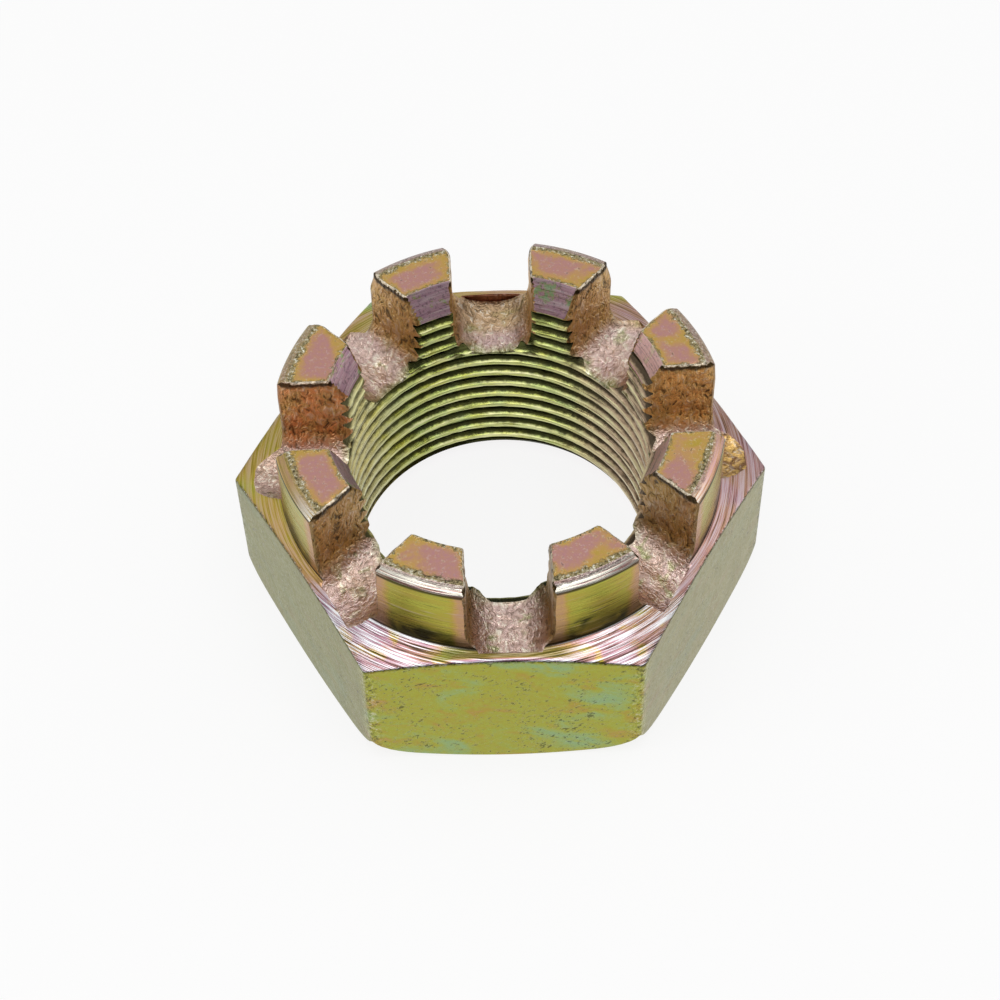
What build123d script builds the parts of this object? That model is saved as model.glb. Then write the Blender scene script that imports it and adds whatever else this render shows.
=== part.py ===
"""Hub nut: a castellated hexagon nut with a fine metric thread, all one forging.

Millimetres, +Z up. The origin is the centre of the flat bearing face, and the
thread's axis is Z. Two flats face -Y and +Y, so two corners lie on the X axis.
"""
from build123d import *

import os
from math import cos, radians, sqrt, tan

# Hexagon
across_flats = 52.0
corner_height = 18.25          # the cone's height at the six corners
corner_round = 0.5             # radius along the six upright corners
cone_angle = 21.0              # turned cone between the corners and the crown

# Bearing face and the chamfer round it
face_step = 0.3                # from the middle of a flat in to the face's edge
foot_angle = 30.0
foot_round = 6.0               # blend between the chamfer and the corners
blank_clearance = 1.0          # how far the turned blank stands clear of the corners

# Crown
overall_height = 30.5
crown_step = 1.2               # from the middle of a flat in to the crown's side
crown_break = 1.15             # width of the sloping band round the top
crown_break_angle = 30.0

# Thread M36 x 2: the bore is cut at the thread's crests
thread_diameter = 36.0
thread_pitch = 2.0
countersink_step = 1.0         # past the thread's roots, at both faces
face_countersink_angle = 90.0  # included angle at the bearing face
crown_countersink_angle = 60.0 # included angle at the crown

# Slots for the split pin
slot_count = 8
slot_width = 9.0
slot_floor = 19.15             # height of the floors above the bearing face
slot_floor_round = 3.7         # radius between floor and walls
slot_overrun = 0.1             # how far a slot cuts past the crown towards a flat
slot_turn = 1.7                # degrees from the hexagon's corners
slot_mouth_round = 0.5         # radius where the walls meet the crown's outside

# How far the cutting shapes stand clear of the metal that they cut
cut_clearance = 1.0

# What follows from those sizes: the thread's depth is five eighths of its triangle's height
triangle_height = thread_pitch * cos(radians(30))
bore_radius = thread_diameter / 2 - 5 / 8 * triangle_height
countersink_radius = thread_diameter / 2 + countersink_step
face_countersink_depth = (countersink_radius - bore_radius) / tan(radians(face_countersink_angle / 2))
crown_countersink_depth = (countersink_radius - bore_radius) / tan(radians(crown_countersink_angle / 2))
face_radius = across_flats / 2 - face_step
crown_radius = across_flats / 2 - crown_step
corner_radius = across_flats / 2 / cos(radians(30))
blank_radius = corner_radius + blank_clearance
cone_slope = tan(radians(cone_angle))
foot_height = (blank_radius - face_radius) * tan(radians(foot_angle))
break_height = crown_break * tan(radians(crown_break_angle))
slot_start = sqrt(bore_radius**2 - (slot_width / 2) ** 2) - cut_clearance


def cone_height(radius):
    """Height of the turned cone at a distance from the axis."""
    return corner_height + (corner_radius - radius) * cone_slope


def from_axis(edge):
    """Distance between an edge's middle and the thread's axis."""
    middle = edge.center()
    return round(sqrt(middle.X**2 + middle.Y**2), 3)


# One slot: a U-shaped channel that runs out from the bore along +X
with BuildPart() as slot:
    with BuildSketch(Plane.YZ.offset(slot_start)) as channel:
        with Locations((0, slot_floor)):
            Rectangle(slot_width, overall_height, align=(Align.CENTER, Align.MIN))
        fillet(channel.vertices().group_by(Axis.Y)[0], radius=slot_floor_round)
    extrude(amount=corner_radius)

# All the slots, at their full length
with BuildPart() as slots:
    with PolarLocations(0, slot_count, start_angle=slot_turn):
        add(slot.part)

# The same slots, ended on a smaller hexagon that leaves a thin rim inside each flat
with BuildPart() as ended_slots:
    add(slots.part)
    with BuildSketch() as slot_ends:
        RegularPolygon(crown_radius + slot_overrun, 6, major_radius=False)
    extrude(amount=slot_floor + overall_height, mode=Mode.INTERSECT)

# The crown: a turned sleeve, slotted, with every mouth rounded on the outside
with BuildPart() as crown:
    with BuildSketch(Plane.XZ) as sleeve_section:
        with BuildLine():
            Polyline(
                (bore_radius, face_countersink_depth),
                (crown_radius, face_countersink_depth),
                (crown_radius, overall_height - break_height),
                (crown_radius - crown_break, overall_height),
                (countersink_radius, overall_height),
                (bore_radius, overall_height - crown_countersink_depth),
                close=True,
            )
        make_face()
    revolve(axis=Axis.Z)
    add(slots.part, mode=Mode.SUBTRACT)
    mouths = crown.edges(Select.LAST).filter_by(Axis.Z).group_by(from_axis)[-1]
    fillet(mouths, radius=slot_mouth_round)

# The nut: a turned cone cut to the hexagon, slotted short of the flats, and its crown
with BuildPart() as hub_nut:
    with BuildSketch(Plane.XZ) as body_section:
        with BuildLine():
            Polyline(
                (bore_radius, face_countersink_depth),
                (countersink_radius, 0),
                (face_radius, 0),
                (blank_radius, foot_height),
                (blank_radius, cone_height(blank_radius)),
                (bore_radius, cone_height(bore_radius)),
                close=True,
            )
        make_face()
        blank_side = body_section.vertices().group_by(Axis.X)[-1]
        fillet(blank_side.sort_by(Axis.Y)[0], radius=foot_round)
    revolve(axis=Axis.Z)
    with BuildSketch() as hexagon:
        RegularPolygon(across_flats / 2, 6, major_radius=False)
        fillet(hexagon.vertices(), radius=corner_round)
    extrude(amount=overall_height, mode=Mode.INTERSECT)
    add(ended_slots.part, mode=Mode.SUBTRACT)
    add(crown.part)

hub_nut.part.label = "hub_nut"

os.makedirs("parts", exist_ok=True)
export_step(hub_nut.part, "parts/hub_nut.step")
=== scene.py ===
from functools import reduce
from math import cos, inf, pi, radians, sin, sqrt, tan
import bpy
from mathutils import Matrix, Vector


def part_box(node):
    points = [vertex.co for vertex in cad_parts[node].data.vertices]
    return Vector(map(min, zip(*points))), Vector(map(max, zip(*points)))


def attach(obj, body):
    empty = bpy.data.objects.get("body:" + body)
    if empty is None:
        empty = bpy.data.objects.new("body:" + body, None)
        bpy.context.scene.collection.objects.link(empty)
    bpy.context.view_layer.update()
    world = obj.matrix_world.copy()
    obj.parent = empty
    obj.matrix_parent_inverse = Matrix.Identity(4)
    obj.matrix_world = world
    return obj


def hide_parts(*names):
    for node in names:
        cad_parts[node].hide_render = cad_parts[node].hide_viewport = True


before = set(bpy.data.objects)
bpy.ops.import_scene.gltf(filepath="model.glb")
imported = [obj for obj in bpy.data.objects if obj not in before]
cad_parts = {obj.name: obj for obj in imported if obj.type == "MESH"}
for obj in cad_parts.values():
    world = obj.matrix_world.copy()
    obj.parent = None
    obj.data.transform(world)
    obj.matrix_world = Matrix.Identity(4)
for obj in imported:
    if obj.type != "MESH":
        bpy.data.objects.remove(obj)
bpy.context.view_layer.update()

# A castellated hub nut: one threaded forging with a yellow passivated zinc finish.
# Shapes are worked out in millimetres and put into the mesh in metres.

from types import SimpleNamespace

import bmesh
import bpy
import numpy as np
from mathutils import Matrix, Vector

MM = 0.001
node_low, node_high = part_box("hub_nut")

# Hexagon, taken from the frame, and the cone turned on it
across_flats = (node_high.y - node_low.y) / MM
overall_height = (node_high.z - node_low.z) / MM
corner_height = 18.25
corner_round = 0.5
cone_angle = radians(21)

# Bearing face and crown
face_step = 0.3
foot_angle = radians(20)
foot_round = 4.0
face_countersink_slope = tan(radians(90 / 2))
crown_countersink_slope = tan(radians(60 / 2))
crown_step = 1.2
crown_break = 1.15
crown_break_angle = radians(30)

# Thread M36 x 2
thread_diameter = 36.0
thread_pitch = 2.0
countersink_step = 1.0
thread_phase = 0.35            # share of a pitch
last_turn = 13.78              # where the thread's topmost groove fades out, in turns

# Slots
slot_count = 8
slot_width = 9.0
slot_floor = 19.15
slot_floor_round = 3.7
slot_overrun = 0.1             # past the crown at the outer end
bore_overrun = 0.7             # inside the thread's crests at the inner end
slot_turn = radians(1.7)
slot_mouth_round = 0.5
top_wear = 1.5                 # how much rounder the mouths are at the top of the backmost slot
small_edge = 0.2               # the least round on an edge that a slot or the turning leaves
bore_edge = 0.15

# What follows from those sizes
apothem = across_flats / 2
corner_radius = apothem / cos(radians(30))
triangle_height = thread_pitch * cos(radians(30))
thread_depth = 5 / 8 * triangle_height
root_radius = thread_diameter / 2
crest_radius = root_radius - thread_depth
countersink_radius = root_radius + countersink_step
face_radius = apothem - face_step
crown_radius = apothem - crown_step
break_depth = crown_break * tan(crown_break_angle)
cone_slope = tan(cone_angle)
base_height = corner_height + (corner_radius - crown_radius) * cone_slope
thread_end = root_radius + 0.02
thread_low = (countersink_radius - thread_end) / face_countersink_slope
thread_high = overall_height - (countersink_radius - thread_end) / crown_countersink_slope
slot_half = slot_width / 2
slot_step = 2 * pi / slot_count
round_centre = slot_floor + slot_floor_round


# Shapes

def cone_height(radius):
    """Height of the turned cone: it falls by the cone's slope from the crown out to the corners."""
    return corner_height + (corner_radius - radius) * cone_slope


def foot_height(radius):
    """Height of the chamfer below the flats: a line that rises from the bearing face at the foot's angle,
    then an arc of the foot's round, tangent to that line and to the blank's side."""
    reach = foot_round * tan((pi / 2 - foot_angle) / 2)
    centre_radius = corner_radius - foot_round
    centre_height = (corner_radius - face_radius) * tan(foot_angle) + reach
    arc = centre_height - np.sqrt(foot_round**2 - (radius - centre_radius) ** 2)
    line = (radius - face_radius) * tan(foot_angle)
    return np.where(radius > corner_radius - reach * cos(foot_angle), arc, line)


def ripple(u, v, seed, waves=14, finest=3.0):
    """Smooth unevenness between about -1 and 1: a sum of sine waves over u and v, each with a seeded
    direction, length and phase, the shorter ones lower in proportion."""
    rng = np.random.default_rng(seed)
    total = np.zeros(np.broadcast(u, v).shape)
    for length in np.geomspace(1, finest, waves):
        direction, phase = rng.uniform(0, 2 * pi, 2)
        along = u * np.cos(direction) + v * np.sin(direction)
        total += np.sin(2 * pi * length * along + phase) / length
    return total / sqrt(waves)


def around_ripple(azimuth, seed, turns, finest):
    """The same unevenness on a closed circle: u and v are the point's place on a circle of that many
    turns."""
    radius = turns / (2 * pi)
    return ripple(radius * np.cos(azimuth), radius * np.sin(azimuth), seed, finest=finest)


def azimuth_columns(corner_steps, side_steps):
    """Azimuths of the grid's columns over one turn: at the steps, in degrees, to either side of each of the
    six corners, and evenly spaced between."""
    near = np.radians(corner_steps)
    side = np.linspace(near[-1], radians(60) - near[-1], side_steps + 2)[1:-1]
    sector = np.concatenate([near, side, radians(60) - near[:0:-1]])
    return np.concatenate([sector + radians(60) * k for k in range(6)])


def hexagon_radius(azimuth):
    """Distance from the axis to the hexagon: the apothem over the cosine of the angle from the nearest
    flat's normal, and near a corner a circle of the corner's round that is tangent to both flats."""
    from_flat = np.abs((azimuth % radians(60)) - radians(30))
    from_corner = radians(30) - from_flat
    centre = (apothem - corner_round) / cos(radians(30))
    tangent = np.arctan((apothem - corner_round) * tan(radians(30)) / apothem)
    inside = np.maximum(corner_round**2 - (centre * np.sin(from_corner)) ** 2, 0)
    on_arc = centre * np.cos(from_corner) + np.sqrt(inside)
    return np.where(from_flat > tangent, on_arc, apothem / np.cos(from_flat))


def rounded(corners, radii, spans, curve_steps=4, support=0.45):
    """A profile for every azimuth: each inner corner is replaced by a parabola tangent to both of its
    sides, about as wide as an arc of the corner's round. A side with spans gets rows close to both ends,
    the support away, and that many evenly spaced between. corners is (corner, azimuth, radius and
    height), and radii are the corners' rounds. Returns the rows, and for each row the side that it lies
    on or ends."""
    points, sides = [corners[0]], [0]
    starts = corners[0]
    count = len(corners)
    for k in range(1, count):
        here, before = corners[k], corners[k - 1]
        if k < count - 1:
            u, v = before - here, corners[k + 1] - here
            reach_u, reach_v = np.linalg.norm(u, axis=1), np.linalg.norm(v, axis=1)
            u, v = u / reach_u[:, None], v / reach_v[:, None]
            half = np.arccos(np.clip((u * v).sum(1), -1, 1)) / 2
            tangent = np.minimum(radii[k] / np.tan(half), 0.42 * np.minimum(reach_u, reach_v))
            first, last = here + u * tangent[:, None], here + v * tangent[:, None]
        else:
            first = here
        length = np.linalg.norm(first - starts, axis=1)
        near = np.minimum(support / length, 0.25)
        if spans[k - 1]:
            for share in np.linspace(0, 1, spans[k - 1] + 2):
                points.append(starts + (first - starts) * (near + (1 - 2 * near) * share)[:, None])
                sides.append(k - 1)
        points.append(first)
        sides.append(k - 1)
        if k < count - 1:
            for f in np.linspace(0, 1, curve_steps + 1)[1:]:
                points.append((1 - f) ** 2 * first + 2 * f * (1 - f) * here + f**2 * last)
                sides.append(k - 1 if f <= 0.5 else k)
            starts = points[-1]
    return np.array(points), np.array(sides)


def grid_faces(rows, columns, closed):
    """Quads between neighbouring rows and columns of a grid whose points are stored row by row."""
    r, c = np.meshgrid(np.arange(rows - 1), np.arange(columns - (not closed)), indexing="ij")
    d = (c + 1) % columns
    here, above = r * columns, (r + 1) * columns
    return np.stack([here + c, here + d, above + d, above + c], -1).reshape(-1, 4)


def turned(profile, azimuth):
    """Points of a profile carried round the axis: x and y are the radius times the azimuth's cosine and
    sine."""
    radius, height = profile[..., 0], profile[..., 1]
    return np.stack([radius * np.cos(azimuth), radius * np.sin(azimuth), height], -1).reshape(-1, 3)


# Outside of the nut, from the upper countersink over the crown and the hexagon to the lower one
SIDES = ("countersink", "crown_top", "crown_break", "crown_wall", "cone", "flat", *["foot"] * 4,
         "bearing_face", "countersink")
SPANS = (0, 4, 1, 5, 5, 5, 0, 0, 0, 0, 3, 0)


def outside(azimuth):
    """The turned profile at each azimuth, with the hexagon's own distance from the axis at the flats.
    Each corner has its radius, height and round. The crown's two rounds grow towards the back, and the
    hexagon's upper edge is unevenly worn."""
    hexagon = hexagon_radius(azimuth)
    worn = 0.5 + 0.5 * np.sin(azimuth)
    uneven = np.clip(0.5 + 0.5 * around_ripple(azimuth, seed=3, turns=26, finest=6), 0, 1)
    foot = [face_radius + (hexagon - face_radius) * share for share in (1.0, 0.75, 0.5, 0.25)]
    corners = [
        (thread_end, thread_high, 0),
        (countersink_radius, overall_height, 0.12),
        (crown_radius - crown_break, overall_height, 0.4 + 0.8 * worn),
        (crown_radius, overall_height - break_depth, 0.35 + 0.75 * worn),
        (crown_radius, base_height, 0.3),
        (hexagon, cone_height(hexagon), small_edge + 0.25 * uneven),
        *((radius, foot_height(radius), edge) for radius, edge in zip(foot, (0.3, inf, inf, inf))),
        (face_radius, 0, small_edge),
        (countersink_radius, 0, bore_edge),
        (thread_end, thread_low, 0),
    ]
    steady = np.ones_like(azimuth)
    places = np.array([np.stack([steady * radius, steady * height], -1) for radius, height, _ in corners])
    profile, sides = rounded(places, [edge for *_, edge in corners], SPANS)
    return turned(profile, azimuth), grid_faces(len(profile), len(azimuth), True), sides


def thread_radius(share):
    """Distance of the internal thread's surface from the axis over one pitch: a flat crest a quarter of
    the pitch wide, 30 degree flanks, and a rounded root."""
    flank = thread_depth * tan(radians(30)) / thread_pitch
    hollow = 0.06
    from_root = np.abs((share % 1) - 0.5) * 2
    root_half = 1 - 0.25 - 2 * flank
    rise = np.clip((from_root - root_half) / (2 * flank), 0, 1)
    return root_radius - hollow * from_root**2 - (thread_depth - hollow) * rise


def thread(azimuth):
    """A sheet whose rows climb one pitch in each turn, so that crest and root run along rows. The topmost
    groove fades out, and past the ends the rows are held at the countersinks' height, where they close
    up. The countersinks are cones round the axis. The crests are a little torn, and more beside the
    slots. Returns the points, the faces, and for each face whether it lies in a countersink."""
    fade, tear, slot_tear, tear_reach = 0.3, 0.04, 0.22, 1.2
    shares = np.array([0.0, 0.07, 0.125, 0.155, 0.29, 0.44, 0.5, 0.56, 0.71, 0.845, 0.875, 0.93])
    turns = int(overall_height / thread_pitch) + 2
    rows = (np.arange(-1, turns)[:, None] + shares).ravel()
    azimuth = np.append(azimuth, azimuth[0] + 2 * pi)
    turned_by = azimuth / (2 * pi)
    height = thread_pitch * (rows[:, None] + turned_by + thread_phase)
    groove = smooth((last_turn - np.floor(rows)[:, None] - 0.5 - turned_by) / fade)
    radius = crest_radius + (thread_radius(rows)[:, None] - crest_radius) * groove
    torn = ripple(8.0 * np.cos(azimuth), 8.0 * np.sin(azimuth) + 0.9 * height, seed=11, finest=5.0)
    from_slot = np.abs((azimuth - slot_turn + slot_step / 2) % slot_step - slot_step / 2) * root_radius
    beside_slot = (1 - smooth(np.abs(from_slot - slot_half) / tear_reach)) * (height > slot_floor)
    on_crest = (radius < crest_radius + 0.2) * (groove > 0.9)
    radius = radius + on_crest * (tear * torn + slot_tear * beside_slot * np.clip(torn + 0.5, 0, 2))
    height = np.clip(height, thread_low, thread_high)
    cone_low = countersink_radius - height * face_countersink_slope
    cone_high = countersink_radius - (overall_height - height) * crown_countersink_slope
    cones = np.maximum(cone_low, cone_high)
    in_countersink = cones > radius
    radius = np.maximum(radius, cones)
    points = turned(np.stack([radius, height], -1), azimuth)
    faces = grid_faces(len(rows), len(azimuth), False)
    return points, faces, in_countersink.ravel()[faces].sum(1) > 2


def smooth(value):
    """Eases from 0 to 1 over the value's own 0 to 1."""
    value = np.clip(value, 0, 1)
    return value**2 * (3 - 2 * value)


def flare(depth, radius, spare=0.4):
    """How far a slot's wall stands back near an edge: a quarter circle that starts its radius below the
    surface, cut off at 70 degrees and carried on straight for the spare distance."""
    steep = radians(70)
    low = radius * (1 - sin(steep))
    sine = np.clip((radius - np.maximum(depth, low)) / radius, 0, 1)
    back = radius * (1 - np.sqrt(1 - sine**2))
    return np.minimum(back + np.maximum(low - depth, 0) * tan(steep), radius + spare)


def slot_flare(radius, height, sideways, wear):
    """The widest flare at a point of a slot's wall, from its depth under the top, the broken edge, the
    bore, the countersink and the outside. Outside, the metal is the cone and the crown together, with a
    small edge on the cone and the mouth's own radius on the crown, worn rounder at the top. Only what
    faces sideways opens out there, and the floor doesn't."""
    under = overall_height - height
    broken = (crown_radius - radius) * sin(crown_break_angle) + (under - break_depth) * cos(crown_break_angle)
    bore = radius - crest_radius
    into_sink = radius - countersink_radius + under * crown_countersink_slope
    cone = (cone_height(radius) - height) * cos(cone_angle)
    mouth = small_edge + (slot_mouth_round - small_edge) * smooth((height - base_height) / 0.9)
    mouth = mouth + wear * smooth((3.2 - under) / 2.4)
    edges = [(under, 0.22), (broken, 0.3 + 0.4 * wear), (bore, bore_edge),
             (into_sink * cos(radians(30)), bore_edge)]
    inside = np.max([flare(depth, edge) for depth, edge in edges], axis=0)
    return np.maximum(inside, flare(np.maximum(cone, crown_radius - radius), mouth, 0.05) * sideways**2)


WALL_STEPS, ARC_STEPS, FLOOR_STEPS = 18, 16, 8


def slot_section():
    """The channel's section as a closed loop: down the left wall, round to the floor, up the right wall
    and back along a straight top. Gives across, height and the outward direction."""
    top = overall_height + 0.8
    inner = slot_half - slot_floor_round
    wall = round_centre + (top - round_centre) * np.linspace(1, 0, WALL_STEPS, endpoint=False)
    turn = np.linspace(0, pi / 2, ARC_STEPS + 1)
    side_across = np.append(np.full(WALL_STEPS, slot_half), inner + slot_floor_round * np.cos(turn))
    side_height = np.append(wall, round_centre - slot_floor_round * np.sin(turn))
    between = np.linspace(-1, 1, FLOOR_STEPS + 1)[1:-1]
    across = np.concatenate([-side_across, inner * between, side_across[::-1], -slot_half * between])
    flat = np.ones(FLOOR_STEPS - 1)
    height = np.concatenate([side_height, slot_floor * flat, side_height[::-1], top * flat])
    out_across = np.where(height < top, (across - np.clip(across, -inner, inner)) / slot_floor_round, 0)
    out_across[[0, 2 * len(side_across) + FLOOR_STEPS - 2]] = -1, 1
    out_down = np.where(height < round_centre, (height - round_centre) / slot_floor_round, 0)
    return across, height, out_across, out_down


def channel(index, length_steps=44, lump_length=3.2, lump_height=0.05):
    """One slot's cutting shape: the closed section carried outwards from inside the bore, its walls
    flared at every edge and made uneven by ripples. It ends on a plane parallel to the flat that it
    meets, leaning out near the cone, or runs out over the cone at a corner of the hexagon. At both ends a
    sheet closes it, straight from wall to wall at each height."""
    near_corner = radians(25)
    angle = slot_turn + index * slot_step
    across, height, out_across, out_down = slot_section()
    inner_end = np.sqrt((crest_radius - bore_overrun) ** 2 - across**2)
    off_flat = (angle % radians(60)) - radians(30)
    outer_end = (crown_radius + slot_overrun + across * sin(off_flat)) / cos(off_flat)
    if abs(off_flat) > near_corner:
        outer_end = np.full(len(across), corner_radius)
    share = np.linspace(0, 1, length_steps + 1)[:, None]
    along = inner_end + (outer_end - inner_end) * share
    level = height + 0 * along
    wear = top_wear * (0.55 + 0.45 * sin(angle))
    back = slot_flare(np.hypot(along, across), level, np.abs(out_across), wear)
    section_length = np.append(0, np.cumsum(np.hypot(np.diff(across), np.diff(height))))
    lumps = ripple(along / lump_length, section_length / lump_length, seed=40 + index, finest=4.0)
    back = back + lump_height * lumps
    depth = (cone_height(np.hypot(along[-1], across)) - height) * cos(cone_angle)
    along[-1] += flare(depth, small_edge, 0.0)
    walls = np.stack([along, across + back * out_across, level + back * out_down], -1)

    columns, side = len(across), WALL_STEPS + ARC_STEPS + 1
    first = np.arange(side)
    last = 2 * side + FLOOR_STEPS - 2 - first
    step = np.linspace(0, 1, FLOOR_STEPS + 1)[1:-1, None, None]
    shells, faces = [walls.reshape(-1, 3)], [grid_faces(length_steps + 1, columns, True)]
    start = walls.shape[0] * columns
    for row in (0, length_steps):
        left, right = walls[row, first], walls[row, last]
        inside = left + (right - left) * step
        names = start + np.arange(inside.shape[0] * side).reshape(-1, side)
        names[:, 0] = row * columns + columns - 1 - np.arange(FLOOR_STEPS - 1)
        names[:, -1] = row * columns + side + np.arange(FLOOR_STEPS - 1)
        sheet = np.concatenate([row * columns + first[None], names, row * columns + last[None]])
        faces.append(sheet.ravel()[grid_faces(FLOOR_STEPS + 1, side, False)])
        shells.append(inside.reshape(-1, 3))
        start += names.size
    u, v, z = np.concatenate(shells).T
    points = np.stack([u * cos(angle) - v * sin(angle), u * sin(angle) + v * cos(angle), z], -1)
    return points, np.concatenate(faces)


# Meshes

def put_in(name, data):
    """A new object with the data, at the origin."""
    thing = bpy.data.objects.new(name, data)
    bpy.context.scene.collection.objects.link(thing)
    return thing


def make_mesh(name, points, faces, zones):
    """A mesh in metres from points in millimetres, with the finish of each face. Points that coincide at
    seams, poles and thread ends are merged, and all faces are turned outwards."""
    mesh = bpy.data.meshes.new(name)
    mesh.from_pydata((points * MM).tolist(), [], faces.tolist())
    for finish in FINISHES:
        mesh.materials.append(bpy.data.materials[finish])
    mesh.polygons.foreach_set("material_index", np.asarray(zones, np.int32))
    same_place = 1e-7
    shell = bmesh.new()
    shell.from_mesh(mesh)
    bmesh.ops.remove_doubles(shell, verts=shell.verts, dist=same_place)
    bmesh.ops.dissolve_degenerate(shell, dist=same_place, edges=shell.edges)
    bmesh.ops.recalc_face_normals(shell, faces=shell.faces)
    shell.to_mesh(mesh)
    shell.free()
    return put_in(name, mesh)


def nut_body():
    """The nut before slotting: the outside and the threaded bore, joined where the thread runs out."""
    azimuth = azimuth_columns(corner_steps=[0, 0.2, 0.4, 0.6, 1.0, 1.8], side_steps=32)
    points, faces, sides = outside(azimuth)
    zone_of_side = np.array([FINISHES.index(side) for side in SIDES])
    zones = np.repeat(zone_of_side[sides[1:]], len(azimuth))
    bore_points, bore_faces, in_countersink = thread(azimuth)
    bore_zones = np.where(in_countersink, FINISHES.index("countersink"), FINISHES.index("thread"))
    points = np.concatenate([points, bore_points])
    faces = np.concatenate([faces, bore_faces + len(points) - len(bore_points)])
    return make_mesh("threaded_nut", points, faces, np.concatenate([zones, bore_zones]))


def slot_cutter():
    """All eight channels as one mesh of closed shells."""
    shells = [channel(index) for index in range(slot_count)]
    starts = np.cumsum([0] + [len(points) for points, _ in shells])
    points = np.concatenate([points for points, _ in shells])
    faces = np.concatenate([faces + start for (_, faces), start in zip(shells, starts)])
    return make_mesh("slot_cutter", points, faces, np.full(len(faces), FINISHES.index("slot_cut")))


def cut(piece, cutter):
    """Takes the cutter out of the piece with an exact boolean, and removes the cutter."""
    modifier = piece.modifiers.new("slots", "BOOLEAN")
    modifier.operation, modifier.solver = "DIFFERENCE", "EXACT"
    modifier.object = cutter
    evaluated = piece.evaluated_get(bpy.context.evaluated_depsgraph_get())
    mesh = bpy.data.meshes.new_from_object(evaluated)
    piece.modifiers.clear()
    piece.data = mesh
    mesh.name = piece.name
    bpy.data.objects.remove(cutter)


# Finishes: the yellow passivation is a thin clear film, and its colour goes with its thickness

def tone(red, green, blue):
    """A colour as read on a screen, 0 to 255, made linear."""
    share = np.array([red, green, blue]) / 255
    linear = np.where(share < 0.04045, share / 12.92, ((share + 0.055) / 1.055) ** 2.4)
    return *linear.tolist(), 1.0


class Wire:
    """A socket whose value can be worked with by + - * / and abs(), each laid out as one node."""

    def __init__(self, board, socket):
        self.board, self.socket = board, socket

    def __abs__(self):
        return self.board.math("ABSOLUTE", self)

    def __add__(self, other):
        return self.board.math("ADD", self, other)

    __radd__ = __add__

    def __sub__(self, other):
        return self.board.math("SUBTRACT", self, other)

    def __rsub__(self, other):
        return self.board.math("SUBTRACT", other, self)

    def __mul__(self, other):
        return self.board.math("MULTIPLY", self, other)

    def __truediv__(self, other):
        return self.board.math("DIVIDE", self, other)

    def span(self, low, high, to_low=0.0, to_high=1.0):
        """The value's place between low and high, eased at both."""
        places = {"Value": self, "From Min": low, "From Max": high, "To Min": to_low, "To Max": to_high}
        node = self.board.add("MapRange", places, interpolation_type="SMOOTHSTEP")
        return Wire(self.board, node.outputs["Result"])


class Board:
    """One node tree being laid out. A wire or socket given as an input is linked, and anything else is
    set on it."""

    def __init__(self, tree):
        self.tree = tree
        tree.nodes.clear()

    def feed(self, socket, value):
        value = value.socket if isinstance(value, Wire) else value
        if isinstance(value, bpy.types.NodeSocket):
            self.tree.links.new(value, socket)
        else:
            socket.default_value = value

    def add(self, kind, inputs=None, **settings):
        node = self.tree.nodes.new("ShaderNode" + kind)
        for key, value in settings.items():
            setattr(node, key, value)
        for key, value in (inputs or {}).items():
            self.feed(node.inputs[key], value)
        return node

    def named(self, node):
        """The node's outputs as wires, each under its own name in lower case."""
        wires = {socket.name.lower().replace(" ", "_"): Wire(self, socket) for socket in node.outputs}
        return SimpleNamespace(**wires)

    def parts(self, vector):
        return [Wire(self, socket) for socket in self.add("SeparateXYZ", {0: vector}).outputs]

    def math(self, operation, *values):
        return Wire(self, self.add("Math", dict(enumerate(values)), operation=operation).outputs[0])

    def most(self, *values):
        return reduce(lambda one, other: self.math("MAXIMUM", one, other), values)

    def least(self, *values):
        return reduce(lambda one, other: self.math("MINIMUM", one, other), values)

    def clamped(self, value):
        return Wire(self, self.add("Clamp", {"Value": value}).outputs[0])

    def noise(self, point, scale, detail=3.0, roughness=0.55, distortion=0.0):
        inputs = {"Vector": point, "Scale": scale, "Detail": detail, "Roughness": roughness}
        inputs["Distortion"] = distortion
        return Wire(self, self.add("TexNoise", inputs).outputs["Fac"])

    def vector(self, x, y, z):
        return self.add("CombineXYZ", {0: x, 1: y, 2: z}).outputs[0]

    def stretched(self, point, **settings):
        """The point in a pattern that is moved, turned and stretched by the settings."""
        inputs = {key.capitalize(): value for key, value in settings.items()}
        return self.add("Mapping", {"Vector": point, **inputs}, vector_type="TEXTURE").outputs[0]

    def mix(self, share, first, second, blend="MIX"):
        node = self.add("Mix", {0: share, 6: first, 7: second}, data_type="RGBA", blend_type=blend)
        return node.outputs[2]

    def painted(self, colour, *layers):
        """The colour under layers laid on in turn, each a share and a colour."""
        for share, over in layers:
            colour = self.mix(share, colour, over)
        return colour


VECTORS = ("Vector", "Point", "Slot", "Turned", "Upright")


def node_group(name, inputs, outputs):
    """Makes a node group of the function that follows, which takes the group's board and a wire for each
    input, and returns a value for each output. The function's name then puts the group on a board, and gives
    its output as a wire, or its outputs as wires by their names in lower case."""
    tree = bpy.data.node_groups.new(name, "ShaderNodeTree")
    for side, sockets in (("INPUT", inputs), ("OUTPUT", outputs)):
        for socket in sockets:
            kind = "Vector" if socket in VECTORS else "Color" if socket == "Color" else "Float"
            tree.interface.new_socket(name=socket, in_out=side, socket_type="NodeSocket" + kind)

    def used(board, *values):
        node = board.add("Group", node_tree=tree)
        for socket, value in zip(node.inputs, values):
            board.feed(socket, value)
        return board.named(node) if len(outputs) > 1 else Wire(board, node.outputs[0])

    def made(layout):
        board = Board(tree)
        given = tree.nodes.new("NodeGroupInput").outputs
        result = tree.nodes.new("NodeGroupOutput")
        laid = layout(board, *[Wire(board, given[socket]) for socket in inputs])
        for socket, value in zip(result.inputs, laid if isinstance(laid, tuple) else (laid,)):
            board.feed(socket, value)
        return used

    return made


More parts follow.
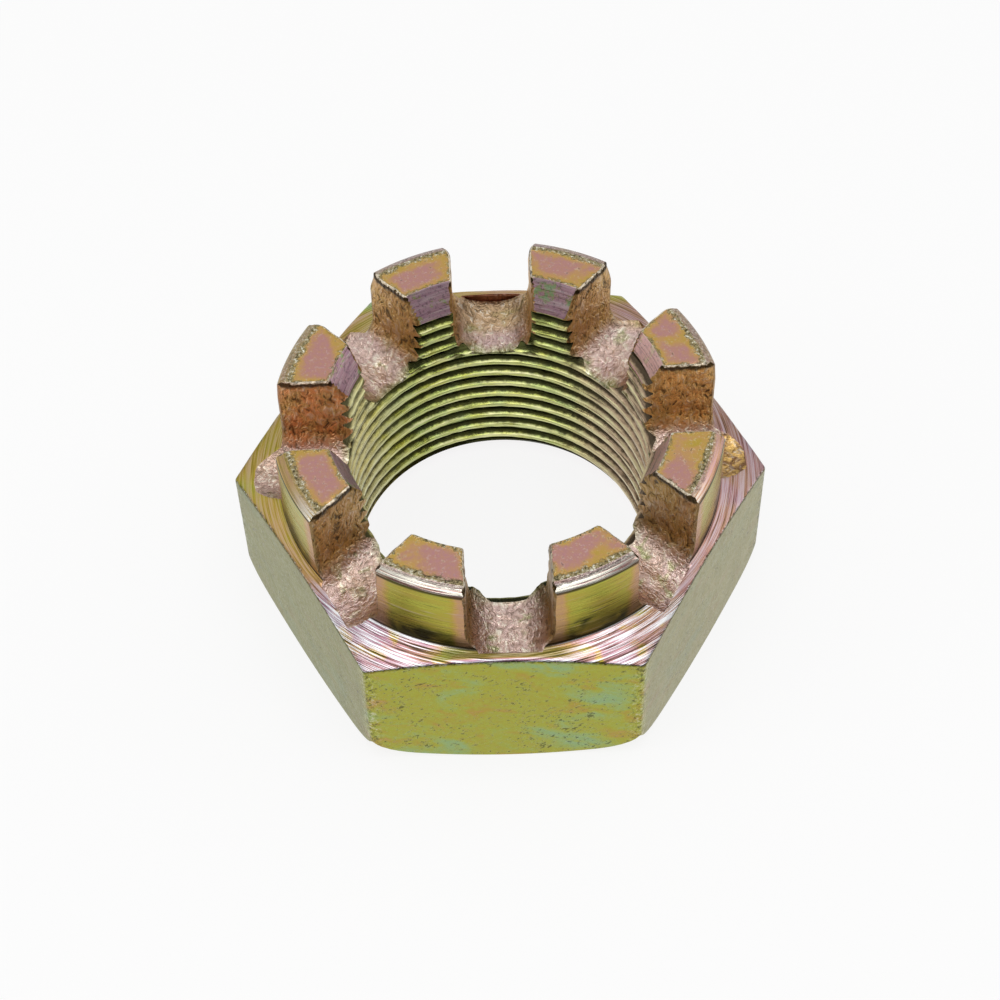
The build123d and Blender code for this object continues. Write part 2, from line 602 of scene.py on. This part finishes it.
@node_group("nut place", [], ["Point", "Radius", "Height", "Right", "Back", "Across", "Flat across",
                              "Inside", "Slot", "Turned", "Upright"])
def nut_place(board):
    """Where a point is on the nut, in millimetres: its distance from the axis and height, its place to the
    right and towards the back, across the nearest slot, across the nearest flat and inside it, and vectors
    for patterns that run along the slots or round the axis."""
    metres = board.add("TexCoord").outputs["Object"]
    point = board.add("VectorMath", {0: metres, 3: 1 / MM}, operation="SCALE").outputs[0]
    x, y, z = board.parts(point)
    radius = board.math("SQRT", x * x + y * y)
    azimuth = board.math("ARCTAN2", y, x)
    from_slot = board.math("WRAP", azimuth - slot_turn, slot_step / 2, -slot_step / 2)
    from_flat = board.math("WRAP", azimuth - pi / 6, pi / 6, -pi / 6)
    across = radius * board.math("SINE", from_slot)
    flat_across = radius * board.math("SINE", from_flat)
    inside = apothem - radius * board.math("COSINE", from_flat)
    apart = (azimuth - from_slot) * 40.0
    slot = board.vector(radius * board.math("COSINE", from_slot), across + apart, z)
    cosine, sine = x / radius, y / radius
    turned = board.vector(cosine, sine, radius - z)
    upright = board.vector(cosine, sine, z)
    return point, radius, z, x, y, across, flat_across, inside, slot, turned, upright


@node_group("film", ["Thickness", "Grime", "Shine"], ["Color"])
def film_colour(board, thickness, grime, shine):
    """The passivation film's colour from its thickness, thin to thick: blue green, green, yellow green,
    olive gold, beige, dusty pink, mauve and violet. The second input is the share of dark laid over it,
    residue in places and painted shade in others, and shine the share of pale metal laid over it, mostly
    painted highlights, with pale specks and worn edges in places."""
    stops = [
        (0.00, tone(140, 172, 134)), (0.14, tone(152, 176, 112)), (0.30, tone(168, 170, 60)),
        (0.44, tone(176, 154, 60)), (0.57, tone(188, 150, 92)), (0.70, tone(182, 138, 116)),
        (0.82, tone(178, 130, 138)), (0.92, tone(148, 108, 134)), (1.00, tone(116, 100, 122)),
    ]
    ramp = board.add("ValToRGB", {0: thickness})
    elements = ramp.color_ramp.elements
    for index, (stop, colour) in enumerate(stops):
        element = elements[index] if index < len(elements) else elements.new(stop)
        element.position, element.color = stop, colour
    # Shine lays painted highlights over the colour, and the darkening input painted shade as well as dark
    # residue.
    return board.painted(ramp.outputs["Color"], (shine, tone(230, 226, 212)), (grime, tone(34, 32, 20)))


@node_group("specks", ["Vector", "Scale"], ["Dark", "Light"])
def fine_specks(board, vector, scale):
    """Fine specks: the darkest and the palest spots of a noise, as two masks."""
    spots = board.noise(vector, scale, 3.0, 0.75)
    return spots.span(0.48, 0.38), spots.span(0.54, 0.63)


@node_group("drift", ["Vector", "Scale", "Fine"], ["Value"])
def film_drift(board, vector, scale, fine):
    """Uneven thickness of the film: wide soft drifts, smaller patches and a fine mottle, between about -1
    and 1."""
    wide = board.noise(vector, scale, 2.0, 0.5, 0.6) * 4.0 - 2.0
    patch = board.noise(vector, scale * 4.3, 4.0, 0.62, 0.3) * 2.4 - 1.2
    mottle = board.noise(vector, scale * 19.0, 3.0, 0.7) * 2.4 - 1.2
    return wide + patch * 0.6 + mottle * fine


@node_group("pits", ["Vector", "Amount"], ["Dark", "Light", "Height"])
def dark_pits(board, vector, amount):
    """Short dark flecks that lean up to the right with a pale side to each, and small round pits. Amount
    sets their share of the surface. They are given as two masks and as a height in millimetres."""
    drawn = board.stretched(vector, rotation=(0.0, radians(-38), 0.0), scale=(1.0, 0.55, 0.4))
    marks = board.noise(drawn, 1.0, 2.0, 0.6, 0.4)
    spots = board.noise(vector, 2.4, 2.0, 0.6)
    lowest = board.least(marks, spots + 0.02)
    limit = amount * 0.12 + 0.25
    dark = lowest.span(limit + 0.03, limit)
    near = lowest.span(limit + 0.09, limit + 0.04)
    return dark, board.clamped(near - dark), near * -0.02


@node_group("turning marks", ["Vector", "Spacing"], ["Value"])
def turning_marks(board, vector, spacing):
    """Lathe marks: fine ridges across a vector whose third part crosses them, a few millimetres long round
    the axis, as a height between about -1.5 and 1.5. Spacing is in millimetres."""
    x, y, rise = board.parts(vector)
    cross = rise / spacing
    lines = board.noise(board.vector(x * 2.6, y * 2.6, cross), 1.0, 1.0, 0.5)
    finer = board.noise(board.vector(x * 7.0, y * 7.0, cross * 2.3), 1.0, 1.0, 0.5)
    return (lines * 4.2 - 2.1) + (finer * 4.0 - 2.0)


@node_group("cutter grain", ["Vector", "Spacing"], ["Value"])
def cutter_grain(board, vector, spacing):
    """The torn grain of the slots: short wavy ridges, upright on the walls and in all directions on the
    floors, over larger lumps, as a height between about -1.5 and 1.5."""
    along, across, up = board.parts(vector)
    drawn = board.vector(along / (spacing * 1.3), across / spacing, up / (spacing * 2.6))
    ridges = board.noise(drawn, 0.8, 3.0, 0.6, 1.1)
    lumps = board.noise(vector, 0.7, 3.0, 0.6, 0.5)
    return (ridges * 5.0 - 2.5) + (lumps * 2.4 - 1.2)


def new_material_tree(name):
    """The node tree of a new material."""
    material = bpy.data.materials.new(name)
    material.use_nodes = True
    return material.node_tree


def finish_material(name, make):
    """A material on the metal: make lays out the nodes and gives the colour, the roughness and the relief
    in mm."""
    board = Board(new_material_tree(name))
    colour, roughness, relief = make(board, nut_place(board))
    bump = board.add("Bump", {"Height": relief, "Distance": MM, "Strength": 1.0}).outputs[0]
    inputs = {"Base Color": colour, "Roughness": roughness, "Metallic": 1.0, "Normal": bump}
    shader = board.add("BsdfPrincipled", inputs)
    board.add("OutputMaterial", {"Surface": shader.outputs[0]})


def make_flat(board, place):
    """Cold-formed flats: yellow green with a few wide soft blue green blotches and hints of gold, greyer
    at the sides, with short dark flecks, and speckled pale and dark along their upright corners and upper
    edges."""
    blotches = board.stretched(place.point, location=(3.0, 0.0, 1.5), rotation=(0.0, radians(14), 0.0),
                               scale=(9.0, 9.0, 4.2))
    green = board.noise(blotches, 1.0, 3.0, 0.55, 0.4).span(0.46, 0.80)
    gold = board.noise(blotches, 1.7, 3.0, 0.6, 0.6).span(0.50, 0.74)
    mottle = board.noise(place.point, 2.6, 5.0, 0.75)
    thickness = mottle * 0.26 + 0.19 + gold * 0.2 - green * 0.3
    corner = apothem * tan(radians(30)) - abs(place.flat_across)
    ragged = board.noise(place.point, 1.5, 4.0, 0.65) * 2.4 - 1.2
    band = (corner + ragged).span(1.7, 0.2)
    below = cone_height(place.radius) - place.height
    line = (below + ragged * 0.25).span(0.42, 0.12)
    band = board.most(band * 0.85, line)
    specks = fine_specks(board, place.point, 2.4)
    amount = board.noise(place.point, 0.22, 2.0, 0.5).span(0.35, 0.65, 0.25, 0.80)
    pits = dark_pits(board, place.point, amount)
    dark = board.most(pits.dark * 0.63, band * specks.dark * 0.9, line * 0.5)
    light = board.most(pits.light * 0.16, band * specks.light)
    colour = film_colour(board, thickness, 0.09)
    side = abs(place.right).span(14.6, 16.0, 0.0, 0.8)
    sides = board.mix(place.right.span(-1, 1), tone(124, 123, 74), tone(147, 140, 103))
    cloud = board.noise(place.point, 0.30, 5.0, 0.7, 0.4).span(0.30, 0.70, 0.78, 1.0)
    sides = board.mix(1.0, sides, board.vector(cloud, cloud, board.math("POWER", cloud, 1.4)), "MULTIPLY")
    colour = board.painted(
        colour, (side, sides), (light * 0.8, tone(206, 202, 178)), (dark, tone(40, 38, 24)))
    relief = pits.height + mottle * 0.02 + board.noise(place.point, 0.5, 2.0) * 0.1
    return colour, mottle.span(0.3, 0.7, 0.26, 0.40), relief


def make_cone(board, place):
    """The turned cone, finely ringed: gold at the left, pinker towards its ends, a painted white highlight
    with dark and violet rings at the front, mauve at the right, dark green where it is narrowest at the
    front, and speckled along the flats' edges."""
    rings = turning_marks(board, place.turned, 0.23)
    bands = turning_marks(board, place.turned, 1.1)
    drift = film_drift(board, place.point, 0.16, 0.25)
    front = (place.back + drift * 1.5).span(-14.0, -20.0)
    left = place.right.span(-14.0, -20.0)
    pinker = board.most(place.back.span(4.0, 11.0, 0.0, 0.7), place.back.span(-4.0, -12.0))
    thickness = place.right.span(-16.0, 20.0, 0.44, 0.73) + left * pinker * 0.16
    thickness += front * place.right.span(22.0, -6.0) * 0.4 + bands * 0.04 + drift * 0.09
    far = (place.back + drift * 0.8).span(23.5, 25.5)
    thickness += far * abs(place.right).span(5.5, 9.0, 0.0, -0.34) + rings * (front * 0.06 + 0.04)
    patch = board.noise(place.point, 0.28, 2.0, 0.5).span(0.52, 0.62)
    thickness -= patch * front * 0.34
    cut = rings + bands * 0.3
    streaked = board.most(front, place.right.span(8.0, 20.0, 0.0, 0.65))
    # Where the painted highlight goes: the front, and a little at the right.
    bright = board.most(front, place.right.span(8.0, 20.0, 0.0, 0.3))
    dark = cut.span(-0.1, -1.2) * streaked.span(0.0, 1.0, 0.35, 0.92)
    dark = board.most(dark, place.right.span(12.0, 22.0, 0.0, 0.16))
    narrow = place.inside.span(2.2, 1.3) * abs(place.right).span(11.0, 5.0) * front
    narrow *= place.inside.span(0.25, 0.6)
    narrow_dark = narrow * rings.span(1.3, -0.6, 0.38, 0.86)
    # Painted highlight: pale white along the ridges of the rings, and pale specks along the flats' edges.
    pale = cut.span(-0.4, 0.9) * bright.span(0.0, 1.0, 0.16, 0.95) * (1.0 - narrow * 0.85)
    ragged = board.noise(place.point, 1.8, 3.0, 0.65)
    edge = (place.inside - 0.35 + ragged * 0.7).span(0.22, 0.06)
    specks = fine_specks(board, place.point, 3.6)
    dark = board.most(dark, narrow_dark, edge * (specks.dark * 0.4 + 0.45))
    pale = board.most(pale, edge * specks.light)
    thickness = board.mix(narrow * 0.6, thickness, (0.14, 0.14, 0.14, 1.0))
    colour = film_colour(board, thickness, dark)
    colour = board.mix(pale, colour, tone(232, 234, 236))
    return colour, rings.span(-1.2, 1.2, 0.22, 0.32), rings * (front * 0.003 + 0.002)


def make_crown_top(board, place):
    """The castellations' tops: dusty pink inside a broken ring of gold, with soft patches of gold and olive,
    and a narrow rough rim of grey green with bright and dark specks."""
    walls = abs(place.across) - slot_half
    rim = crown_radius - crown_break - 0.25 - place.radius
    inner = place.radius - countersink_radius
    edge = board.least(walls + 0.15, rim, inner + 0.15)
    near = edge + board.noise(place.point, 1.3, 4.0, 0.65) * 1.8 - 0.9
    patch = board.noise(place.point, 0.24, 2.0, 0.5, 0.4)
    ring = near + (0.5 - patch) * 3.5
    gold = board.most(patch.span(0.5, 0.76) * 0.27, ring.span(1.5, 0.2, 0.0, 0.22))
    thickness = board.noise(place.point, 2.2, 4.0, 0.7) * 0.24 + 0.63 - gold
    band = near.span(0.55, 0.10)
    specks = fine_specks(board, place.point, 3.2)
    pits = dark_pits(board, place.point, 0.40)
    dark = board.most(band * specks.dark, pits.dark * 0.45)
    light = board.most(band * specks.light, pits.light * 0.2)
    colour = film_colour(board, thickness, 0.05)
    colour = board.painted(
        colour, (band * 0.6, tone(140, 142, 116)), (light * 0.95, tone(232, 230, 214)),
        (dark * 0.85, tone(40, 38, 26)))
    rings = turning_marks(board, place.turned, 0.3)
    rough = board.noise(place.point, 3.0, 3.0, 0.75) * (band * 0.2 + 0.03)
    return colour, band.span(0.0, 1.0, 0.27, 0.42), rough + rings * 0.001


def make_crown_break(board, place):
    """The sloping band round the crown's top: bright turned metal with a painted white highlight, streaked
    violet and dark, at the front, golden at the left, and worn grey green where it meets the top and all
    round the back."""
    rings = turning_marks(board, place.turned, 0.34)
    drift = film_drift(board, place.point, 0.3, 0.4)
    thickness = place.right.span(-20.0, -10.0, 0.55, 0.8) + rings * 0.06 + drift * 0.09
    thickness -= place.right.span(12.0, 18.0, 0.0, 0.1)
    # Painted highlight: white along the rings at the front.
    pale = rings.span(-1.0, 0.3) * place.back.span(-9.0, -15.0, 0.12, 0.98)
    dark = rings.span(-0.5, -1.9, 0.0, 0.85)
    specks = fine_specks(board, place.point, 3.2)
    inner = (crown_radius - place.radius + drift * 0.25).span(0.7, 1.15)
    far = board.most(place.back.span(0.0, 8.0), inner * 0.8)
    dark = board.clamped(dark * (1.0 - far) + far * specks.dark * 0.7)
    pale = board.clamped(pale * (1.0 - far) + far * specks.light * 0.8)
    colour = film_colour(board, thickness, dark, pale)
    colour = board.mix(far * 0.4, colour, tone(146, 148, 124))
    relief = board.noise(place.point, 3.0, 3.0, 0.75) * (far * 0.12)
    return colour, 0.25, relief + rings * 0.004


def make_crown_wall(board, place):
    """The crown's outside: yellow green with dark green patches drawn out round it, darkened towards its foot
    by painted shade where it meets the cone, a black line below the top, painted highlights along its
    turning marks, and beige where it meets a slot."""
    rings = turning_marks(board, place.upright, 0.36)
    x, y, z = board.parts(place.upright)
    drawn = board.vector(x * 7.0, y * 7.0, z * 0.42)
    patch = board.noise(drawn, 1.0, 4.0, 0.6, 0.4)
    above = place.height - base_height
    tall = overall_height - break_depth - base_height
    strip = (abs(place.across) - slot_half + patch * 2.4).span(3.2, 2.0)
    thickness = rings * 0.03 + 0.25 + patch * 0.24 + strip * 0.26
    # Painted shade: the wall darkens towards its foot, in patches.
    lower = above + (patch - 0.5) * 12.0 + rings * 0.35
    grime = lower.span(3.6, 0.0, 0.0, 0.86) * (1.0 - strip * 0.7)
    # Painted shade: a near black band where the wall meets the cone.
    foot = (above + rings * 0.12).span(0.6, 0.15, 0.0, 0.95)
    top = (above + rings * 0.06).span(tall - 0.5, tall - 0.25, 0.0, 0.85)
    grime = board.most(grime, foot, top, rings.span(-0.9, -2.2, 0.0, 0.6))
    # Painted highlights on the ridges of the turning marks.
    shine = rings.span(0.6, 2.4, 0.0, 0.45)
    colour = film_colour(board, thickness, grime, shine)
    return colour, rings.span(-1.2, 1.2, 0.24, 0.36), rings * 0.006


def make_slot_cut(board, place):
    """What the slotting left bare: walls of gold, brown and rust with a rough upright grain, and crumpled
    floors of pale pink with green towards the bore and in soft patches. The grain has painted shade in its
    troughs and painted highlights on its ridges. Below their upper edges the walls are near black, partly
    dirt and partly painted shade, with a pale line on the edge itself, partly wear and partly painted
    highlight, and they carry painted shade along their outer corners. The back slot's end wall carries a
    painted shadow of dark red brown, the run-out at the right is golden with random patches of painted
    shade, and that at the left is a darker beige."""
    grain = cutter_grain(board, place.slot, 0.42)
    drift = film_drift(board, place.point, 0.25, 0.3)
    floor = (place.height - slot_floor + drift * 0.3).span(2.8, 0.6)
    wall = 1.0 - floor
    thickness = floor.span(0.0, 1.0, 0.58, 0.77) + drift * 0.06 + grain * 0.03
    patch = board.noise(place.point, 0.42, 3.0, 0.55, 0.4).span(0.53, 0.70)
    near_bore = (place.radius + drift * 0.7).span(18.8, 16.8)
    green = floor * board.most(near_bore * 0.85, patch * 0.8)
    back = floor * place.back.span(19.0, 21.5)
    thickness -= back * 0.1
    # Painted shadow: the back slot's steep end wall, which faces the front, is painted dark red brown.
    end_wall_shadow = place.back.span(24.72, 24.82)
    run_out = place.right.span(24.4, 25.2) * abs(place.back).span(4.5, 3.5)
    ragged = board.noise(place.point, 1.6, 3.0, 0.65) - 0.5
    under = overall_height - place.height + ragged
    # A pale line on the top edge, partly wear and partly painted highlight, and below it a near black band,
    # partly dirt and partly painted shade.
    worn = under.span(0.26, 0.12)
    black = board.clamped(under.span(1.15, 0.5) - worn)
    # Painted shade in the grain's troughs, stronger on the walls.
    hollow_shade = grain.span(0.0, -1.1) * floor.span(0.0, 1.0, 0.82, 0.45)
    front = place.back.span(-15.0, -18.0) * abs(place.right).span(8.0, 6.0)
    aside = place.right - place.back * 0.6
    brown = wall * ((aside + drift * 4.0).span(10.0, 26.0, 0.0, 0.2) + front * 0.28)
    # Painted shade: a dark line along the walls' outer corners.
    outer = (place.radius + ragged * 0.8).span(crown_radius - 0.7, crown_radius - 0.2)
    black = board.most(black, outer * wall * 0.6)
    grime = board.most(hollow_shade, brown, black * 0.92)
    # Painted highlights on the grain's ridges, stronger on the floors, and on the pale top edge.
    shine = grain.span(0.0, 1.2) * floor.span(0.0, 1.0, 0.44, 0.95)
    shine = board.most(worn * 0.8, shine) * (1.0 - run_out * 0.5)
    colour = film_colour(board, thickness, 0.0, floor * 0.33)
    pale_green = board.mix(grain.span(-0.5, 1.0), tone(136, 146, 92), tone(186, 194, 144))
    rusty = wall * abs(place.back).span(7.5, 5.5)
    rusty *= board.noise(place.point, 0.5, 3.0, 0.6).span(0.36, 0.62, 0.15, 0.8)
    rust = board.mix(place.right.span(-1, 1), tone(236, 146, 98), tone(250, 190, 114))
    left_end = place.right.span(-24.2, -25.0) * 0.5
    # Random patches of painted shade on the golden run-out.
    shade_patches = board.noise(place.point, 0.75, 3.0, 0.6, 0.8).span(0.42, 0.60)
    golden = board.mix(shade_patches, tone(112, 76, 34), tone(212, 172, 92))
    colour = board.painted(
        colour, (green, pale_green), (rusty, rust), (wall * 0.25, tone(252, 206, 136)),
        (left_end, tone(152, 124, 96)), (run_out * 0.88, golden), (back * 0.6, tone(188, 154, 104)),
        (shine, tone(230, 222, 204)), (end_wall_shadow * 0.9, tone(112, 62, 44)), (grime, tone(34, 28, 18)))
    relief = grain * floor.span(0.0, 1.0, 0.075, 0.034)
    return colour, floor.span(0.0, 1.0, 0.40, 0.30), relief


def make_countersink(board, place):
    """The countersinks: brushed violet with green patches, painted highlights on the ridges and dark specks,
    rosy at the right."""
    rings = turning_marks(board, place.upright, 0.22)
    drift = film_drift(board, place.point, 0.5, 0.5)
    patch = board.noise(place.point, 0.6, 3.0, 0.6).span(0.54, 0.64)
    thickness = place.right.span(-4.0, 4.0, 0.86, 0.8) + drift * 0.1 + rings * 0.04 - patch * 0.66
    specks = fine_specks(board, place.point, 2.8)
    dark = board.most(specks.dark * 0.5, rings.span(-0.5, -1.8, 0.0, 0.85))
    # Painted highlights on the ridges of the turning marks.
    shine = rings.span(-0.3, 1.3, 0.10, 0.95)
    colour = film_colour(board, thickness, dark, shine)
    clean = 1.0 - dark
    tint = board.mix(patch, tone(236, 196, 222), tone(170, 214, 160))
    rosy = place.right.span(7.0, 13.0) * clean * 0.65
    colour = board.painted(colour, (clean * 0.45, tint), (rosy, tone(255, 212, 200)))
    return colour, 0.4, rings * 0.006


def make_thread(board, place):
    """The thread: pale yellow green crests with bright and dark scratches along them, pinkish grey towards
    the sides, with painted highlights along the crests that are brightest in the middle, over grooves
    darkened to near black by painted shade and dirt, paler at the sides."""
    depth = place.radius - crest_radius
    drift = film_drift(board, place.point, 0.3, 0.4)
    rings = turning_marks(board, place.upright, 0.26)
    left = (place.right + drift * 1.5).span(-10.0, -16.5, 0.0, 0.45)
    right = (place.right + drift * 1.5).span(5.0, 14.0, 0.0, 0.85)
    thickness = drift * 0.08 + 0.24
    torn = board.noise(place.point, 1.4, 4.0, 0.7) * 0.6 - 0.3
    # Painted shade and dirt darken the grooves, less towards the sides.
    groove = depth + torn - abs(place.right).span(6.0, 14.0, 0.0, 0.16)
    deepest = abs(place.right).span(8.0, 14.0, 0.94, 0.84)
    grime = board.most(groove.span(0.02, 0.36) * deepest, rings.span(-0.3, -1.7, 0.0, 0.85))
    # Painted highlights along the crests.
    shine = depth.span(0.4, 0.05) * rings.span(-0.6, 1.4, 0.08, 0.8)
    # A broader painted highlight in the middle, from left to right.
    middle = abs(place.right - 1.5).span(6.0, 1.0)
    shine = board.clamped(shine + middle * depth.span(0.5, 0.1) * 0.2)
    colour = film_colour(board, thickness)
    colour = board.painted(
        colour, (board.most(left, right), tone(192, 160, 142)), (shine, tone(228, 226, 174)),
        (grime, tone(34, 32, 20)))
    return colour, rings.span(-1.0, 1.0, 0.24, 0.36), rings * 0.008 + torn * 0.1


MAKERS = {
    "slot_cut": make_slot_cut, "countersink": make_countersink, "crown_top": make_crown_top,
    "crown_break": make_crown_break, "crown_wall": make_crown_wall, "cone": make_cone, "flat": make_flat,
    "foot": make_flat, "bearing_face": make_cone, "thread": make_thread,
}
FINISHES = list(MAKERS)
for finish in FINISHES:
    finish_material(finish, MAKERS[finish])


# The nut

nut = nut_body()
nut.name = nut.data.name = "castellated_nut"
cut(nut, slot_cutter())
nut.data.shade_smooth()
nut.data.set_sharp_from_angle(angle=radians(38))
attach(nut, "root")
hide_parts("hub_nut")


# Floor, light and camera

def floor_material():
    """A pale matt floor. The camera and reflections see most of it as plain white paper, with a soft
    shadow."""
    board = Board(new_material_tree("pale_floor"))
    rays = board.named(board.add("LightPath"))
    seen = board.most(rays.is_camera_ray, rays.is_glossy_ray, rays.is_transmission_ray)
    matt = board.add("BsdfDiffuse", {"Color": (0.85, 0.85, 0.85, 1.0)})
    paper = board.add("Emission", {"Color": (1.0, 1.0, 1.0, 1.0), "Strength": 1.0})
    mixed = board.add("MixShader", {0: seen * 0.85, 1: matt.outputs[0], 2: paper.outputs[0]})
    board.add("OutputMaterial", {"Surface": mixed.outputs[0]})


def studio_floor(half=1.5):
    """A square sheet just under the nut, a grid of two rows and columns."""
    floor_material()
    gap = 0.02 * MM
    side = np.linspace(-half, half, 3)
    x, y = np.meshgrid(side, side, indexing="ij")
    mesh = bpy.data.meshes.new("studio_floor")
    points = np.stack([x, y, 0 * x - gap], -1).reshape(-1, 3)
    mesh.from_pydata(points.tolist(), [], grid_faces(3, 3, False)[:, ::-1].tolist())
    mesh.materials.append(bpy.data.materials["pale_floor"])
    floor = put_in("studio_floor", mesh)


def studio_world():
    """A pale backdrop behind the nut and a dim room in front, seen in the metal's reflections, even soft
    light for the floor, and white where the camera sees past the floor."""
    world = bpy.data.worlds.new("studio")
    world.use_nodes = True
    bpy.context.scene.world = world
    board = Board(world.node_tree)
    rays = board.named(board.add("LightPath"))
    _, back, up = board.parts(board.add("TexCoord").outputs["Generated"])
    behind = back.span(-0.25, 0.45, 0.30, 1.0)
    lift = board.most(up.span(0.35, 0.62, 0.55, 1.0), up.span(0.3, 0.05, 0.5, 0.95))
    seen = board.most(rays.is_camera_ray, rays.is_transmission_ray)
    strength = board.add("Mix", {0: seen, 2: 0.55, 3: 1.0}, data_type="FLOAT").outputs[0]
    choice = {0: rays.is_glossy_ray, 2: strength, 3: behind * lift}
    strength = board.add("Mix", choice, data_type="FLOAT").outputs[0]
    sky = board.add("Background", {"Color": (1.0, 1.0, 1.0, 1.0), "Strength": strength})
    board.add("OutputWorld", {"Surface": sky.outputs[0]})


def soft_box(name, place, width, height, radiance):
    """A rectangular lamp facing the nut, with the power that gives its face the radiance."""
    lamp = bpy.data.lights.new(name, "AREA")
    lamp.shape, lamp.size, lamp.size_y = "RECTANGLE", width, height
    lamp.energy = 4 * width * height * radiance
    place = Vector(place)
    facing = (place - Vector((0, 0, 0.01))).to_track_quat("Z", "Y").to_matrix().to_4x4()
    put_in(name, lamp).matrix_world = Matrix.Translation(place) @ facing


def photo_camera():
    """The photograph's view: 54 degrees down onto the crown with the front flat square on, level but for
    1.6 degrees of roll. Back, right and up are the camera's own axes."""
    elevation, roll, turn, distance = radians(54.218), radians(-1.5606), radians(0.3166), 269.0
    back = Vector((0, -cos(elevation), sin(elevation)))
    level, rise = Vector((1, 0, 0)), Vector((0, sin(elevation), cos(elevation)))
    right = cos(roll) * level + sin(roll) * rise
    up = cos(roll) * rise - sin(roll) * level
    place = Vector((-0.0988, 0.091, 13.0)) * MM + back * distance * MM
    frame_of = Matrix((right, up, back)).transposed().to_4x4()
    lens = bpy.data.cameras.new("photo_view")
    lens.lens, lens.sensor_width = 84.33, 36.0
    lens.clip_start = 0.01
    camera = put_in("photo_view", lens)
    camera.matrix_world = Matrix.Rotation(turn, 4, "Z") @ Matrix.Translation(place) @ frame_of
    bpy.context.scene.camera = camera


studio_floor()
studio_world()
soft_box("overhead_box", (0.0, -0.08, 0.45), width=0.42, height=0.30, radiance=1.7)
soft_box("left_box", (-0.5, -0.15, 0.25), width=0.3, height=0.4, radiance=0.9)
soft_box("right_box", (0.5, 0.1, 0.3), width=0.3, height=0.4, radiance=0.7)
photo_camera()
bpy.context.scene.view_settings.view_transform = "Standard"
